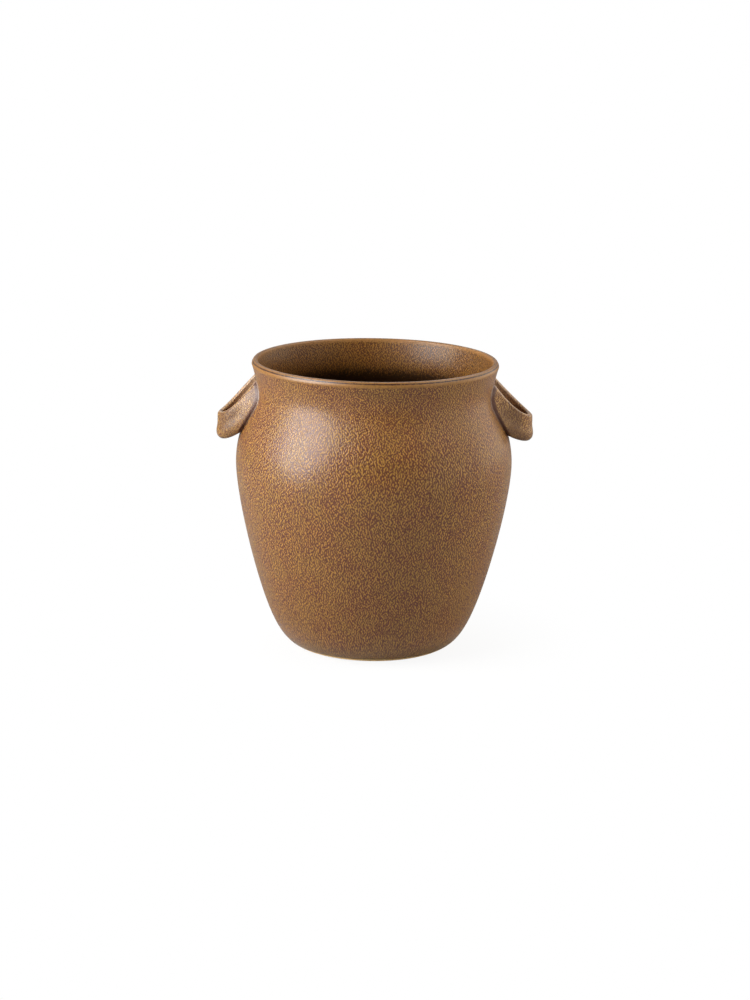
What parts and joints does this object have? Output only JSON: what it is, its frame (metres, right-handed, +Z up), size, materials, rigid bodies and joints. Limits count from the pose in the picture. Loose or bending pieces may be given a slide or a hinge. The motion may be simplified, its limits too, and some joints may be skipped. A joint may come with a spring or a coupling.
{
  "type": "planter jar",
  "caption": "Round-bellied glazed stoneware planter jar with a wide flared mouth, a rolled lip and open strap ears on its shoulder.",
  "frame": {"origin": "centre of the foot on the floor", "axes": "+Z up along the jar's axis, +X through the right ear, -Y towards the viewer of the picture"},
  "size_m": [0.2734, 0.238, 0.25],
  "materials": {
    "body_glaze": "satin",
    "ear_glaze": "satin"
  },
  "bodies": {
    "root": {"jar_body": "body_glaze", "left_ear": "ear_glaze", "right_ear": "ear_glaze"}
  },
  "joints": []
}
